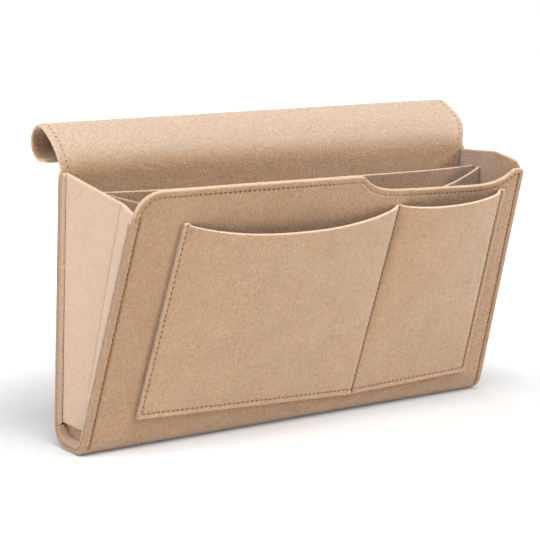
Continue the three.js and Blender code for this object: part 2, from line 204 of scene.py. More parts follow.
flat_back = BACK_MIDDLE - BACK_BEND
back_foot = BACK_BEND + WRAP_FELT / 2
back_straight = BACK_HEIGHT - back_foot
front_turn = math.pi / 2 - FRONT_LEAN
rise_length = RISE_RADIUS * RISE_TURN
crease_turn = CREASE_ANGLE + CREASE_REACH / RISE_RADIUS
front_tangent = FRONT_BEND * math.tan(front_turn / 2)
wrap_runs = [
    (FRONT_TO_CORNER - front_tangent, 0),
    (FRONT_BEND * front_turn, front_turn),
    (FLAT_CORNER + flat_back - front_tangent, 0),
    (BACK_BEND * math.pi / 2, math.pi / 2),
    (back_straight - CREASE_REACH, 0),
    (2 * CREASE_REACH, -crease_turn),
    (rise_length - CREASE_REACH, crease_turn - CREASE_ANGLE - RISE_TURN),
    (CURL_RADIUS * CURL_TURN, -CURL_TURN),
    (FLAP_END, 0),
]
run_ends = np.cumsum([length for length, turn in wrap_runs])
flat_start = run_ends[1]
flat_end = run_ends[2]
bend_end = run_ends[3]
crease_at = run_ends[3] + back_straight
curl_start = run_ends[6]
wrap_end = run_ends[8]
curl_part = CURL_RADIUS * CURL_TURN / CURL_JOINTS
line_steps = []
for length, turn in wrap_runs:
    count = math.ceil(length / LINE_STEP)
    line_steps += [(length / count, turn / count)] * count
step_lengths, step_turns = np.array(line_steps).T
line_s = np.r_[0, np.cumsum(step_lengths)]
line_heading = np.r_[0, np.cumsum(step_turns)] - front_turn
middle_heading = (line_heading[1:] + line_heading[:-1]) / 2
line_y = np.r_[0, np.cumsum(step_lengths * np.cos(middle_heading))]
line_z = np.r_[0, np.cumsum(step_lengths * np.sin(middle_heading))]
line_y -= np.interp(flat_end, line_s, line_y) - flat_back
line_z -= np.interp(flat_end, line_s, line_z) - WRAP_FELT / 2


def lean(x, s):
    """How far the soft felt stands to the right of its straight place, mostly at the back and the flap."""
    marks = (0, FRONT_LENGTH, bend_end, crease_at, curl_start)
    left = np.interp(s, marks, LEFT_LEANS)
    rise = np.clip((s - crease_at) / (curl_start - crease_at), 0, 1)
    right = np.interp(s, marks, RIGHT_LEANS) + RIGHT_FLARE * np.sin(math.pi * rise) ** 2
    return left + (right - left) * (x / BASE_HALF + 1) / 2


def folded(x, s, lift):
    """Places on the folded wrap, in metres: x across, s along its line, lift out of its middle.
    The soft flap is twisted a little, so that its right end stands higher than its left end."""
    heading = np.interp(s, line_s, line_heading)
    raised = np.clip((s - crease_at) / (curl_start - crease_at), 0, 1)
    raised = raised ** 2 * (3 - 2 * raised)
    y = np.interp(s, line_s, line_y) + lift * np.sin(heading)
    y = y + raised * (CURL_BACK + CURL_BACK_TWIST * x / BASE_HALF)
    z = np.interp(s, line_s, line_z) - lift * np.cos(heading)
    z = z + raised * (CURL_LIFT + CURL_LIFT_TWIST * x / BASE_HALF)
    return np.stack([x + lean(x, s), y, z], axis=-1) * MM


def unit(vectors):
    length = np.linalg.norm(vectors, axis=-1, keepdims=True)
    return vectors / np.maximum(length, LEAST_LENGTH)


def spaced(start, end, step):
    """Even places from start to end, about a step apart."""
    return np.linspace(start, end, max(2, math.ceil(abs(end - start) / step) + 1))


def felt_sheet(
        name, middle, thickness, joined=(), pressed=0, inner_pressed=0, thinned=0, painted_highlight=(0, 0), edge_shade=None):
    """A sheet of felt over a grid of middle points, rows from top to foot and columns from left to right.
    Its cut edges are round, except on the joined sides, where the next piece of the same sheet begins.
    Pressed is how far a row of sewing sinks into a face, where the felt is also painted darker as painted
    shade;
    thinned is how much felt is rubbed off each face; the highlight shares are how much painted highlight
    pales the outer and the inner face; and the edge shade is how much painted shade darkens the cut along
    each side."""
    rows, columns = middle.shape[:2]
    face = unit(np.cross(np.gradient(middle, axis=0), np.gradient(middle, axis=1)))
    pressed = np.broadcast_to(pressed, (rows, columns))
    inner_pressed = np.broadcast_to(inner_pressed, (rows, columns))
    pale, inner_pale = [np.broadcast_to(share, (rows, columns)).ravel() for share in painted_highlight]
    rise = (thickness / 2 - pressed - thinned)[..., None] * MM
    fall = (thickness / 2 - inner_pressed - thinned)[..., None] * MM
    order = np.arange(rows * columns).reshape(rows, columns)
    loop = np.concatenate([order[0], order[1:, -1], order[-1, -2::-1], order[-2:0:-1, 0]])
    sides = ["top"] * (columns - 1) + ["right"] * (rows - 1)
    sides += ["foot"] * (columns - 1) + ["left"] * (rows - 1)
    free = np.array([side not in joined for side in sides], float)[:, None]
    rim = middle.reshape(-1, 3)[loop]
    rim_face = face.reshape(-1, 3)[loop]
    steps = unit(np.roll(rim, -1, axis=0) - rim) * free
    outward = unit(np.cross(rim_face, steps + np.roll(steps, 1, axis=0)))
    corner = CUT_SHARE * thickness * MM
    loop_row, loop_column = np.divmod(loop, columns)
    places = {
        "top": (loop_row == 0, loop_column),
        "foot": (loop_row == rows - 1, loop_column),
        "left": (loop_column == 0, loop_row),
        "right": (loop_column == columns - 1, loop_row),
    }
    # Painted shade along the cut of each side.
    rim_shade = np.zeros(len(loop))
    for side, amount in (edge_shade or {}).items():
        there, along = places[side]
        rim_shade[there] = np.broadcast_to(amount, along.max() + 1)[along[there]]
    rings = [loop]
    points = [(middle + face * rise).reshape(-1, 3), (middle - face * fall).reshape(-1, 3)]
    cut = [np.zeros(2 * rows * columns)]
    # Each point's painted shade: how deep a seam dents it, and on the rim how dark its cut is painted.
    sunk = [pressed.ravel(), inner_pressed.ravel()]
    paleness = [pale, inner_pale]
    start = 2 * rows * columns
    angles = np.radians(CUT_ANGLES)
    turns = [(angle, 1) for angle in angles] + [(angle, -1) for angle in angles[::-1]]
    for angle, side in turns:
        height = (rise if side > 0 else fall).reshape(-1, 1)[loop] - corner * (1 - math.cos(angle))
        points.append(rim + outward * corner * math.sin(angle) + side * rim_face * height)
        cut.append(math.sin(angle) * np.linalg.norm(outward, axis=1))
        sunk.append(math.sin(angle) * rim_shade)
        paleness.append((pale if side > 0 else inner_pale)[loop])
        rings.append(np.arange(start, start + len(loop)))
        start += len(loop)
    rings.append(loop + rows * columns)
    corners = [order[:-1, :-1], order[1:, :-1], order[1:, 1:], order[:-1, 1:]]
    quads = [np.stack(corners, axis=-1).reshape(-1, 4)]
    quads.append(quads[0][:, ::-1] + rows * columns)
    for upper, lower in zip(rings, rings[1:]):
        quads.append(np.stack([upper, np.roll(upper, -1), np.roll(lower, -1), lower], axis=-1))
    mesh = bpy.data.meshes.new(name)
    mesh.from_pydata(np.concatenate(points).tolist(), [], np.concatenate(quads).tolist())
    for label, values in (("cut_edge", cut), ("painted_shade", sunk), ("painted_highlight", paleness)):
        attribute = mesh.attributes.new(label, "FLOAT", "POINT")
        attribute.data.foreach_set("value", np.concatenate(values).astype(np.float32))
    sheet = bpy.data.objects.new(name, mesh)
    bpy.context.scene.collection.objects.link(sheet)
    bpy.ops.object.select_all(action="DESELECT")
    sheet.select_set(True)
    bpy.context.view_layer.objects.active = sheet
    bpy.ops.object.shade_smooth_by_angle(angle=SMOOTH_ANGLE)
    return sheet


def lengths_along(points):
    """How far each point of a line lies from its start."""
    return np.r_[0, np.cumsum(np.linalg.norm(np.diff(points, axis=0), axis=1))]


def points_at(spots, lengths, points):
    """The points of a line at some lengths from its start."""
    return np.stack([np.interp(spots, lengths, values) for values in points.T], axis=-1)


def sunk_along(x, s, path_x, path_s, depth, reach):
    """How deep the felt is drawn in beside a row of sewing, over a grid of flat places."""
    row = np.stack([path_x, path_s], axis=-1)
    lengths = lengths_along(row)
    along = spaced(0, lengths[-1], FINE_STEP)
    row = points_at(along, lengths, row)
    places = np.stack([x, s], axis=-1).reshape(-1, 1, 2)
    nearest = np.full(len(places), np.inf)
    for part in np.array_split(row, max(1, len(row) // SEAM_POINTS)):
        nearest = np.minimum(nearest, np.linalg.norm(places - part, axis=2).min(axis=1))
    return (depth * np.exp(-(nearest / reach) ** 2)).reshape(x.shape)


# The slow waves of loose felt: the share of each, its lengths across and along, and where it starts.
FELT_WAVES = ((1, 37, 61, 0), (0.7, 23, -41, 1.3), (0.5, 83, 19, 0.6))


def felt_waves(x, s, height):
    """The slow unevenness of a felt sheet that isn't under tension, in millimetres."""
    waves = 0
    for share, across, along, start in FELT_WAVES:
        waves = waves + share * np.sin(x / across + s / along + start)
    return height * waves / sum(wave[0] for wave in FELT_WAVES)


# Each noise has a scale, a detail, a roughness and a distortion. The fraying and painted highlight of the cut
# edges, the speckle of the painted shade and the roughness are a factor for the grain and what is added to
# it.
BLOTCHES = (60, 3, 0.5)
GRAIN = (640, 3, 0.65)
STREAKS = (900, 2, 0.6)
FIBRES = (330, 3, 0.6, 1.6)
STREAK_STRETCH = (1.0, 1.0, 0.38)
NOISE_RANGE = (0.3, 0.7)
FIBRE_SHARPNESS = 8
GRAIN_SHARE = 0.5
BLOTCH_SHARE = 0.18
HIGHLIGHT_SHARE = 0.75
FIBRE_SHARE = 0.3
FRAYING_AND_HIGHLIGHT = (0.5, 0.35)
SHADE_SPECKLE = (0.6, 0.5)
SHADE_RANGE = (0.1, 1.2)
FELT_ROUGHNESS = (0.1, 0.88)
FINE_HEIGHT = 0.7
FIBRE_HEIGHT = 0.4
FELT_BUMP = 0.85
FELT_BUMP_DEPTH = 0.0008
FELT_SHINE = 0.12
FELT_SHEEN = 0.6
SHEEN_ROUGHNESS = 0.32
SHEEN_TINT = (1.0, 0.97, 0.94, 1)
# A felt's colours: its two tones, its fibres, its cut edges (lighter partly for loose fibres and partly as a
# painted highlight), the painted shade of dents and cut edges, and the painted highlight of lit faces.
FELT_COLOURS = ("Felt Colour", "Shade Colour", "Fibre Colour", "Cut Fibre And Highlight Colour", "Painted Shade Colour", "Painted Highlight Colour")


def felt_group():
    """The surface of pressed felt: slow blotches, a fine grain and short fibres that mostly run one way."""
    group = bpy.data.node_groups.new("pressed_felt", "ShaderNodeTree")
    for label in FELT_COLOURS:
        group.interface.new_socket(label, in_out="INPUT", socket_type="NodeSocketColor")
    for label, kind in (("Colour", "Color"), ("Roughness", "Float"), ("Height", "Float")):
        group.interface.new_socket(label, in_out="OUTPUT", socket_type="NodeSocket" + kind)
    given = group.nodes.new("NodeGroupInput").outputs
    made = group.nodes.new("NodeGroupOutput")
    place = group.nodes.new("ShaderNodeTexCoord").outputs["Object"]
    stretched = {"Vector": place, "Scale": STREAK_STRETCH}
    combed = add_node(group, "ShaderNodeMapping", stretched).outputs["Vector"]

    def noise(source, scale, detail, roughness, distortion=0):
        labels = ("Vector", "Scale", "Detail", "Roughness", "Distortion")
        inputs = dict(zip(labels, (source, scale, detail, roughness, distortion)))
        return add_node(group, "ShaderNodeTexNoise", inputs).outputs["Fac"]

    def spread(value, low, high):
        inputs = {"Value": value, "From Min": low, "From Max": high}
        return add_node(group, "ShaderNodeMapRange", inputs).outputs["Result"]

    def attribute(label):
        node = group.nodes.new("ShaderNodeAttribute")
        node.attribute_name = label
        return node.outputs["Fac"]

    def added(first, second):
        return math_node(group, "ADD", first, second)

    def times(first, second):
        return math_node(group, "MULTIPLY", first, second)

    def scaled(value, factor, more):
        return added(times(value, factor), more)

    blotches = spread(noise(place, *BLOTCHES), *NOISE_RANGE)
    grain = spread(noise(place, *GRAIN), *NOISE_RANGE)
    streaks = spread(noise(combed, *STREAKS), *NOISE_RANGE)
    crossing = math_node(group, "ABSOLUTE", scaled(noise(place, *FIBRES), 2, -1))
    fibres = math_node(group, "POWER", math_node(group, "SUBTRACT", 1, crossing), FIBRE_SHARPNESS)
    fine = added(times(grain, GRAIN_SHARE), times(streaks, 1 - GRAIN_SHARE))
    tone = added(times(blotches, BLOTCH_SHARE), times(fine, 1 - BLOTCH_SHARE))
    # The cut edges are lightened, partly for their loose fibres and partly as a painted highlight where they
    # catch the light.
    frayed_and_highlit = times(attribute("cut_edge"), scaled(grain, *FRAYING_AND_HIGHLIGHT))
    # Painted shade: the dents of sewing, the gussets' creases and folds, and the shaded cut edges are
    # darkened.
    seam_and_edge_shade = times(spread(attribute("painted_shade"), *SHADE_RANGE), scaled(grain, *SHADE_SPECKLE))
    colour = mixed(group, tone, given["Shade Colour"], given["Felt Colour"])
    # Painted highlight: lit faces are paled towards the highlight colour.
    colour = mixed(group, times(attribute("painted_highlight"), HIGHLIGHT_SHARE), colour, given["Painted Highlight Colour"])
    colour = mixed(group, times(fibres, FIBRE_SHARE), colour, given["Fibre Colour"])
    colour = mixed(group, frayed_and_highlit, colour, given["Cut Fibre And Highlight Colour"])
    colour = mixed(group, seam_and_edge_shade, colour, given["Painted Shade Colour"])
    give(group, made, {
        "Colour": colour,
        "Roughness": scaled(grain, *FELT_ROUGHNESS),
        "Height": added(times(fine, FINE_HEIGHT), times(fibres, FIBRE_HEIGHT)),
    })
    return group


pressed_felt = felt_group()


def srgb(red, green, blue):
    """A colour as a screen shows it, from 0 to 255, made linear."""
    shares = [value / 255 for value in (red, green, blue)]
    return [share / 12.92 if share <= 0.04045 else ((share + 0.055) / 1.055) ** 2.4 for share in shares]


def felt_material(name, *colours):
    """Matt felt with a soft sheen of loose fibres. Its colours come in the order of FELT_COLOURS."""
    material, tree = new_material(name)
    surface = tree.nodes.new("ShaderNodeGroup")
    surface.node_tree = pressed_felt
    give(tree, surface, {label: (*srgb(*colour), 1) for label, colour in zip(FELT_COLOURS, colours)})
    height = surface.outputs["Height"]
    bump = add_node(
        tree, "ShaderNodeBump", {"Height": height, "Strength": FELT_BUMP, "Distance": FELT_BUMP_DEPTH})
    give(tree, tree.nodes["Principled BSDF"], {
        "Base Color": surface.outputs["Colour"],
        "Roughness": surface.outputs["Roughness"],
        "Normal": bump.outputs["Normal"],
        "Specular IOR Level": FELT_SHINE,
        "Sheen Weight": FELT_SHEEN,
        "Sheen Roughness": SHEEN_ROUGHNESS,
        "Sheen Tint": SHEEN_TINT,
    })
    return material


wrap_felt = felt_material(
    "wrap_felt", (175, 140, 108), (132, 99, 71), (190, 162, 134), (210, 180, 152),
    (110, 70, 42), (187, 167, 149))

# The front: the part of the wrap that leans outwards. Its left corner is round, its right end is scooped
# down towards a tight corner, and rows of sewing draw the felt in beside its edges.
FRONT_ROUND = 18
FRONT_TIGHT = 4
FRONT_TIGHT_DROP = 3
FRONT_SCOOP = 11
FRONT_SCOOP_POWER = 6
FRONT_SCOOP_LEFT = 16.2
FRONT_SCOOP_SHOULDER = 5
FRONT_RIGHT_LEAN = 6
EDGE_INSET = 4.5
HEM_INSET = 4
SEAM_DEPTH = 1.0
SEAM_REACH = 0.95
HEM_SHARE = 0.42
CUT_SHADE = 0.8
GRID_STEP = 2.0
FRONT_BORDER = 6
FRONT_BEND_STEP = 0.6
FRONT_BORDER_STEP = 1.5
FRONT_WAVES = 0.45
CALM_REACH = 40
TIGHT_POINTS = 8
TIGHT_LEAST = 0.5
TIGHT_REACH = 3
TIGHT_STEP = 0.3
HEM_ZONE = 6.3
HEM_STEP = 0.42
SEAM_FOOT = 2
SEAM_COLUMNS = (-1.5, -1.0, -0.6, -0.3, 0, 0.3, 0.6, 1.0, 1.5)
RIM_COLUMNS = (0, 0.9)
BORDER_COLUMNS = (6, 7.5, 9.5, 12)
CORNER_COLUMN = 14.5
# The cut sides are painted darker, as painted shade.
shaded_cut_sides = {"left": CUT_SHADE, "right": CUT_SHADE}
wrap_round = CUT_SHARE * WRAP_FELT
seam_place = EDGE_INSET - wrap_round
beside_seam = np.array(SEAM_COLUMNS)
edge_columns = np.r_[RIM_COLUMNS, seam_place + beside_seam, BORDER_COLUMNS]


def front_half(side, height):
    """How far the front reaches on one side at a height up its slope. The soft felt leans to the right."""
    taper = FRONT_TAPER - FRONT_RIGHT_LEAN * (np.asarray(side) > 0)
    return BASE_HALF - taper * np.clip(height, 0, None) / FRONT_LENGTH


tight_height = FRONT_LENGTH - FRONT_TIGHT_DROP - FRONT_TIGHT
front_right = front_half(1, tight_height) - FRONT_TIGHT
front_left = FRONT_ROUND - front_half(-1, FRONT_LENGTH - FRONT_ROUND)
corner_radius = FRONT_ROUND - wrap_round
corner_columns = np.r_[edge_columns, CORNER_COLUMN, corner_radius]
corner_turns = math.pi - np.arccos(1 - corner_columns / corner_radius)


def front_top(inset):
    """The front's top edge from left to right, moved in by an inset: across, and height up the slope."""
    tight = np.linspace(math.pi / 2, 0, TIGHT_POINTS)
    scoop_right = front_right - FRONT_SCOOP_SHOULDER
    across = np.r_[
        spaced(front_left, front_right - TIGHT_REACH, GRID_STEP)[1:],
        spaced(front_right - TIGHT_REACH, front_right, TIGHT_STEP)[1:-1],
    ]
    share = (2 * across - FRONT_SCOOP_LEFT - scoop_right) / (scoop_right - FRONT_SCOOP_LEFT)
    share = np.clip(share, -1, 1)
    dip = FRONT_SCOOP * (1 - np.abs(share) ** FRONT_SCOOP_POWER) + FRONT_TIGHT_DROP * (share + 1) / 2
    round_radius = FRONT_ROUND - inset
    tight_radius = max(FRONT_TIGHT - inset, TIGHT_LEAST)
    x = [
        front_left + round_radius * np.cos(corner_turns),
        across,
        front_right + tight_radius * np.cos(tight),
    ]
    height = [
        FRONT_LENGTH - FRONT_ROUND + round_radius * np.sin(corner_turns),
        FRONT_LENGTH - inset - dip,
        tight_height + tight_radius * np.sin(tight),
    ]
    return np.concatenate(x), np.concatenate(height)


top_x, top_height = front_top(wrap_round)
down_insets = np.r_[
    spaced(0, HEM_ZONE, HEM_STEP),
    spaced(HEM_ZONE, FRONT_LENGTH, GRID_STEP)[1:],
]
front_heights = top_height * (1 - down_insets[:, None] / FRONT_LENGTH)
front_x = top_x * (front_half(top_x, front_heights) - wrap_round)
front_x = front_x / (front_half(top_x, top_height) - wrap_round)
below = np.r_[
    spaced(FRONT_LENGTH, flat_start, FRONT_BEND_STEP)[1:],
    spaced(flat_start, flat_start + FRONT_BORDER, FRONT_BORDER_STEP)[1:],
]
below_x = np.broadcast_to(front_x[-1], (len(below), len(top_x)))
below_s = np.broadcast_to(below[:, None], below_x.shape)
grid_x = np.concatenate([front_x, below_x])
grid_s = np.concatenate([FRONT_LENGTH - front_heights, below_s])
hem_x, hem_height = front_top(HEM_INSET)
side_heights = {
    -1: np.array([SEAM_FOOT, FRONT_LENGTH - FRONT_ROUND]),
    1: np.array([SEAM_FOOT, tight_height]),
}
hem_depth = SEAM_DEPTH * HEM_SHARE
front_pressed = sunk_along(grid_x, grid_s, hem_x, FRONT_LENGTH - hem_height, hem_depth, SEAM_REACH)
for side, heights in side_heights.items():
    seam_x = side * (front_half(side, heights) - EDGE_INSET)
    seam = sunk_along(grid_x, grid_s, seam_x, FRONT_LENGTH - heights, SEAM_DEPTH, SEAM_REACH)
    front_pressed = np.maximum(front_pressed, seam)
front_calm = np.clip((FRONT_LENGTH - grid_s) / CALM_REACH, 0, 1)
front_calm = front_calm * np.clip((BASE_HALF - np.abs(grid_x)) / CALM_REACH, 0, 1)
front_waves = felt_waves(grid_x, grid_s, FRONT_WAVES) * front_calm
front_middle = folded(grid_x, grid_s, front_waves)
wrap_front = felt_sheet(
    "wrap_front", front_middle, WRAP_FELT, joined=("foot",), pressed=front_pressed, edge_shade=shaded_cut_sides)
wrap_front.data.materials.append(wrap_felt)
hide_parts("front_panel")
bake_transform(wrap_front)

# The back and the flap: the rest of the wrap. The back stands upright, and past the crease the felt rises,
# rolls over and hooks down. The roll is cut into lengths between its turning lines.
BACK_SEAM_DEPTH = 0.55
FLAP_HEM_DEPTH = 0.2
FLAP_THINNED = 0.45
FLAP_THIN_REACH = 3.5
# Painted highlight: the roll's upper face is painted paler where the light from above falls on it.
ROLL_HIGHLIGHT = 0.85
ROLL_HIGHLIGHT_REACH = 14
FLAP_STEP_START = 3.5
FLAP_STEP_REACH = 4
THIN_START = 4
COLUMN_SHARE = 0.03
BACK_BEND_STEP = 1.0
BACK_STEP = 3.0
CREASE_ZONE = 8
CREASE_CLEAR = 2
BACK_SEAM_START = 8
CUT_SHADE_REACH = 6
rise_border = crease_at + rise_length / 2
crown_border = curl_start + curl_part / 2
heel_border = crown_border + curl_part


def wrap_half(s):
    """Half the wrap's width from the bottom to the end of the flap."""
    rise = np.clip((s - bend_end) / back_straight, 0, 1)
    step = np.clip((s - crease_at + FLAP_STEP_START) / FLAP_STEP_REACH, 0, 1)
    return BASE_HALF - BACK_TAPER * rise - FLAP_STEP * (1 - np.sqrt(1 - step ** 2))


def wrap_grid(rows):
    """Flat places over a stretch of the back or the flap, with columns close together near its edges."""
    inner = spaced(-1, 1, COLUMN_SHARE)[1:-1]
    half = wrap_half(rows)[:, None] - wrap_round
    reach = half - edge_columns[-1]
    x = np.concatenate([edge_columns - half, inner * reach, (half - edge_columns)[:, ::-1]], axis=1)
    return x, np.broadcast_to(rows[:, None], x.shape)


def hem_pressed(x, s, first, last, depth):
    """How far the rows of sewing beside the two edges sink into the felt."""
    rows = spaced(first, last, GRID_STEP)
    seams = []
    for side in (-1, 1):
        hem = side * (wrap_half(rows) - EDGE_INSET)
        seams.append(sunk_along(x, s, hem, rows, depth, SEAM_REACH))
    return np.maximum(*seams)


def edge_thinned(x, s):
    """How much thinner the flap's felt is near its two edges."""
    from_edge = (wrap_half(s) - np.abs(x)) / FLAP_THIN_REACH
    past_crease = np.clip((s - crease_at) / THIN_START, 0, 1)
    return FLAP_THINNED * past_crease * np.exp(-from_edge ** 2)


def roll_highlight(s):
    """How much painted highlight pales the roll of the flap on its upper face, where the light from above
    falls.
    """
    share = np.clip((s - crease_at) / ROLL_HIGHLIGHT_REACH, 0, 1)
    return ROLL_HIGHLIGHT * share ** 2 * (3 - 2 * share)


back_rows = np.r_[
    spaced(flat_start + FRONT_BORDER, flat_end, GRID_STEP),
    spaced(flat_end, bend_end, BACK_BEND_STEP)[1:],
    spaced(bend_end, crease_at - CREASE_ZONE, BACK_STEP)[1:],
    spaced(crease_at - CREASE_ZONE, rise_border, FINE_STEP)[1:],
]
back_x, back_s = wrap_grid(back_rows)
back_seam = (bend_end + BACK_SEAM_START, crease_at - CREASE_CLEAR)
back_pressed = hem_pressed(back_x, back_s, *back_seam, BACK_SEAM_DEPTH)
back_inner_pressed = hem_pressed(back_x, back_s, crease_at + CREASE_CLEAR, rise_border, FLAP_HEM_DEPTH)
back_pressed = np.maximum(back_pressed, back_inner_pressed)
# The back's cut sides are painted darker below the crease, as painted shade.
back_cut_shade = CUT_SHADE * np.clip((crease_at - back_rows) / CUT_SHADE_REACH, 0, 1)
wrap_back = felt_sheet(
    "wrap_back", folded(back_x, back_s, 0), WRAP_FELT, joined=("top", "foot"),
    pressed=back_pressed, inner_pressed=back_inner_pressed, thinned=edge_thinned(back_x, back_s),
    painted_highlight=(0, roll_highlight(back_s)), edge_shade={"left": back_cut_shade, "right": back_cut_shade})
wrap_back.data.materials.append(wrap_felt)
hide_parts("bottom_fold", "back_panel")
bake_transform(wrap_back)


flap_borders = [rise_border, crown_border, heel_border, wrap_end]
flap_names = ["flap_rise_felt", "flap_crown_felt", "flap_tip_felt"]
flap_nodes = [["flap_rise"], ["flap_crown"], ["flap_heel", "flap_tip"]]
for joint in range(CURL_JOINTS):
    first, last = flap_borders[joint], flap_borders[joint + 1]
    at_end = joint == CURL_JOINTS - 1
    flap_x, flap_s = wrap_grid(spaced(first, last - wrap_round if at_end else last, FINE_STEP))
    flap_pressed = hem_pressed(flap_x, flap_s, rise_border, wrap_end - EDGE_INSET, FLAP_HEM_DEPTH)
    flap_felt = felt_sheet(
        flap_names[joint], folded(flap_x, flap_s, 0), WRAP_FELT,
        joined=("top",) if at_end else ("top", "foot"), pressed=flap_pressed, inner_pressed=flap_pressed,
        thinned=edge_thinned(flap_x, flap_s), painted_highlight=(0, roll_highlight(flap_s)))
    flap_felt.data.materials.append(wrap_felt)
    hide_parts(*flap_nodes[joint])
    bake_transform(flap_felt)

# The gussets: two wedges of the same felt that close the ends, their outer faces painted paler as a painted
# highlight. Each is folded outwards along the front and the back, where it is sewn on, and has a soft crease
# from being packed flat, painted darker along its line as painted shade. At its foot a strip lies on the
# bottom and turns up behind the web. The left gusset drops towards the front's corner.
GUSSET_FELT = 3
BACK_FLANGE = 2.6
FRONT_FLANGE = 4.5
SEAM_GAP = 0.1
FOLD_REACH = 1.9
CREASE_FOLD = 3
CREASE_SHARES = (0.62, 0.7)
CREASE_DEPTH = 4
CREASE_LINE = 0.55
FOLD_LINE = 0.9
BACK_INSIDE = BACK_MIDDLE - WRAP_FELT / 2
FRONT_FOOT = (-13.726, 4.489)
GUSSET_FEET = (15, 17, 13.5, 11.5, 10)
GUSSET_TOPS = {"left_gusset": (176, 176, 160.5, 154, 151.5), "right_gusset": (175, 175, 178, 174, 168)}
TUCK_RISE = 0.5
TUCK_GAP = 0.2
TUCK_CRUMPLE = 0.5
TUCK_WAVES = 3
TUCK_POINTS = 9
FOOT_FRONT = 4
FOOT_BACK = 3
FOOT_STEP = 1.2
FOOT_INSETS = (0, 0.8, 1.6, 2.4, 3.2, 4.8, 6.4, 8)
FOLD_POINTS = 7
CREASE_POINTS = 9
STRETCH_POINTS = (5, 30, 14, 5)
FOLD_LIMIT = 0.45
FOLD_COLUMNS = 1.8
CREASE_COLUMNS = 1.3
CREASE_FADE = 0.25
TOP_LEVELS = (1, 0.993, 0.985)
FOOT_LEVELS = (0.02, 0.01, 0)
WEB_LEVELS = (0.975, 0.03, 0.0125)
gusset_round = CUT_SHARE * GUSSET_FELT


def back_half(side, z):
    """The back's edge on one side at a height, measured outwards."""
    s = bend_end + np.minimum(z - back_foot, back_straight - CREASE_REACH)
    straight = side * (BASE_HALF - BACK_TAPER * np.clip((s - bend_end) / back_straight, 0, 1))
    return side * (straight + lean(straight, s))


def front_inside(z):
    return FRONT_FOOT[0] - (z - FRONT_FOOT[1]) * math.tan(FRONT_LEAN)


def front_half_at(side, z):
    """The front's edge on one side at a height, measured outwards."""
    up = (z - FRONT_FOOT[1]) / math.cos(FRONT_LEAN)
    straight = side * front_half(side, up)
    return side * (straight + lean(straight, FRONT_LENGTH - up))


def crease_share(z):
    """How far from the back to the front the crease lies at a height."""
    return np.interp(z, (GUSSET_FEET[2], back_straight), CREASE_SHARES)


def gusset_line(side, heights):
    """The middle of a gusset's felt at one level, from the back's edge round the folds to the front's."""
    back_edge, back_fold, crease_z, front_fold, front_edge = heights
    crease = crease_share(crease_z)
    half_felt = GUSSET_FELT / 2
    back_y = BACK_INSIDE - SEAM_GAP - half_felt
    front_gap = (SEAM_GAP + half_felt) / math.cos(FRONT_LEAN)
    crease_y = BACK_INSIDE + (front_inside(crease_z) - BACK_INSIDE) * crease
    crease_x = (back_half(side, crease_z) - BACK_FLANGE) * (1 - crease)
    crease_x += (front_half_at(side, crease_z) - FRONT_FLANGE) * crease
    front_x = front_half_at(side, front_fold) - FRONT_FLANGE
    corners = np.array([
        (back_half(side, back_edge) - gusset_round, back_y, back_edge),
        (back_half(side, back_fold) - BACK_FLANGE - half_felt, back_y, back_fold),
        (crease_x - half_felt - CREASE_DEPTH, crease_y, crease_z),
        (front_x - half_felt, front_inside(front_fold) + front_gap, front_fold),
        (front_half_at(side, front_edge) - gusset_round, front_inside(front_edge) + front_gap, front_edge),
    ])
    line = []
    here = corners[0]
    bends = [(1, FOLD_REACH, FOLD_POINTS), (2, CREASE_FOLD, CREASE_POINTS), (3, FOLD_REACH, FOLD_POINTS)]
    for (corner, reach, steps), count in zip(bends, STRETCH_POINTS):
        to_last = corners[corner - 1] - corners[corner]
        to_next = corners[corner + 1] - corners[corner]
        reach = min(reach, *(FOLD_LIMIT * np.linalg.norm(edge) for edge in (to_last, to_next)))
        enter = corners[corner] + unit(to_last) * reach
        leave = corners[corner] + unit(to_next) * reach
        line.append(here + (enter - here) * np.linspace(0, 1, count, endpoint=False)[:, None])
        turn = np.linspace(0, 1, steps, endpoint=False)[:, None]
        line.append((1 - turn) ** 2 * enter + 2 * turn * (1 - turn) * corners[corner] + turn ** 2 * leave)
        here = leave
    line.append(here + (corners[-1] - here) * np.linspace(0, 1, STRETCH_POINTS[-1] + 1)[:, None])
    fold_column = STRETCH_POINTS[0] + FOLD_POINTS // 2
    crease_column = sum(STRETCH_POINTS[:2]) + FOLD_POINTS + CREASE_POINTS // 2
    return np.concatenate(line), fold_column, crease_column


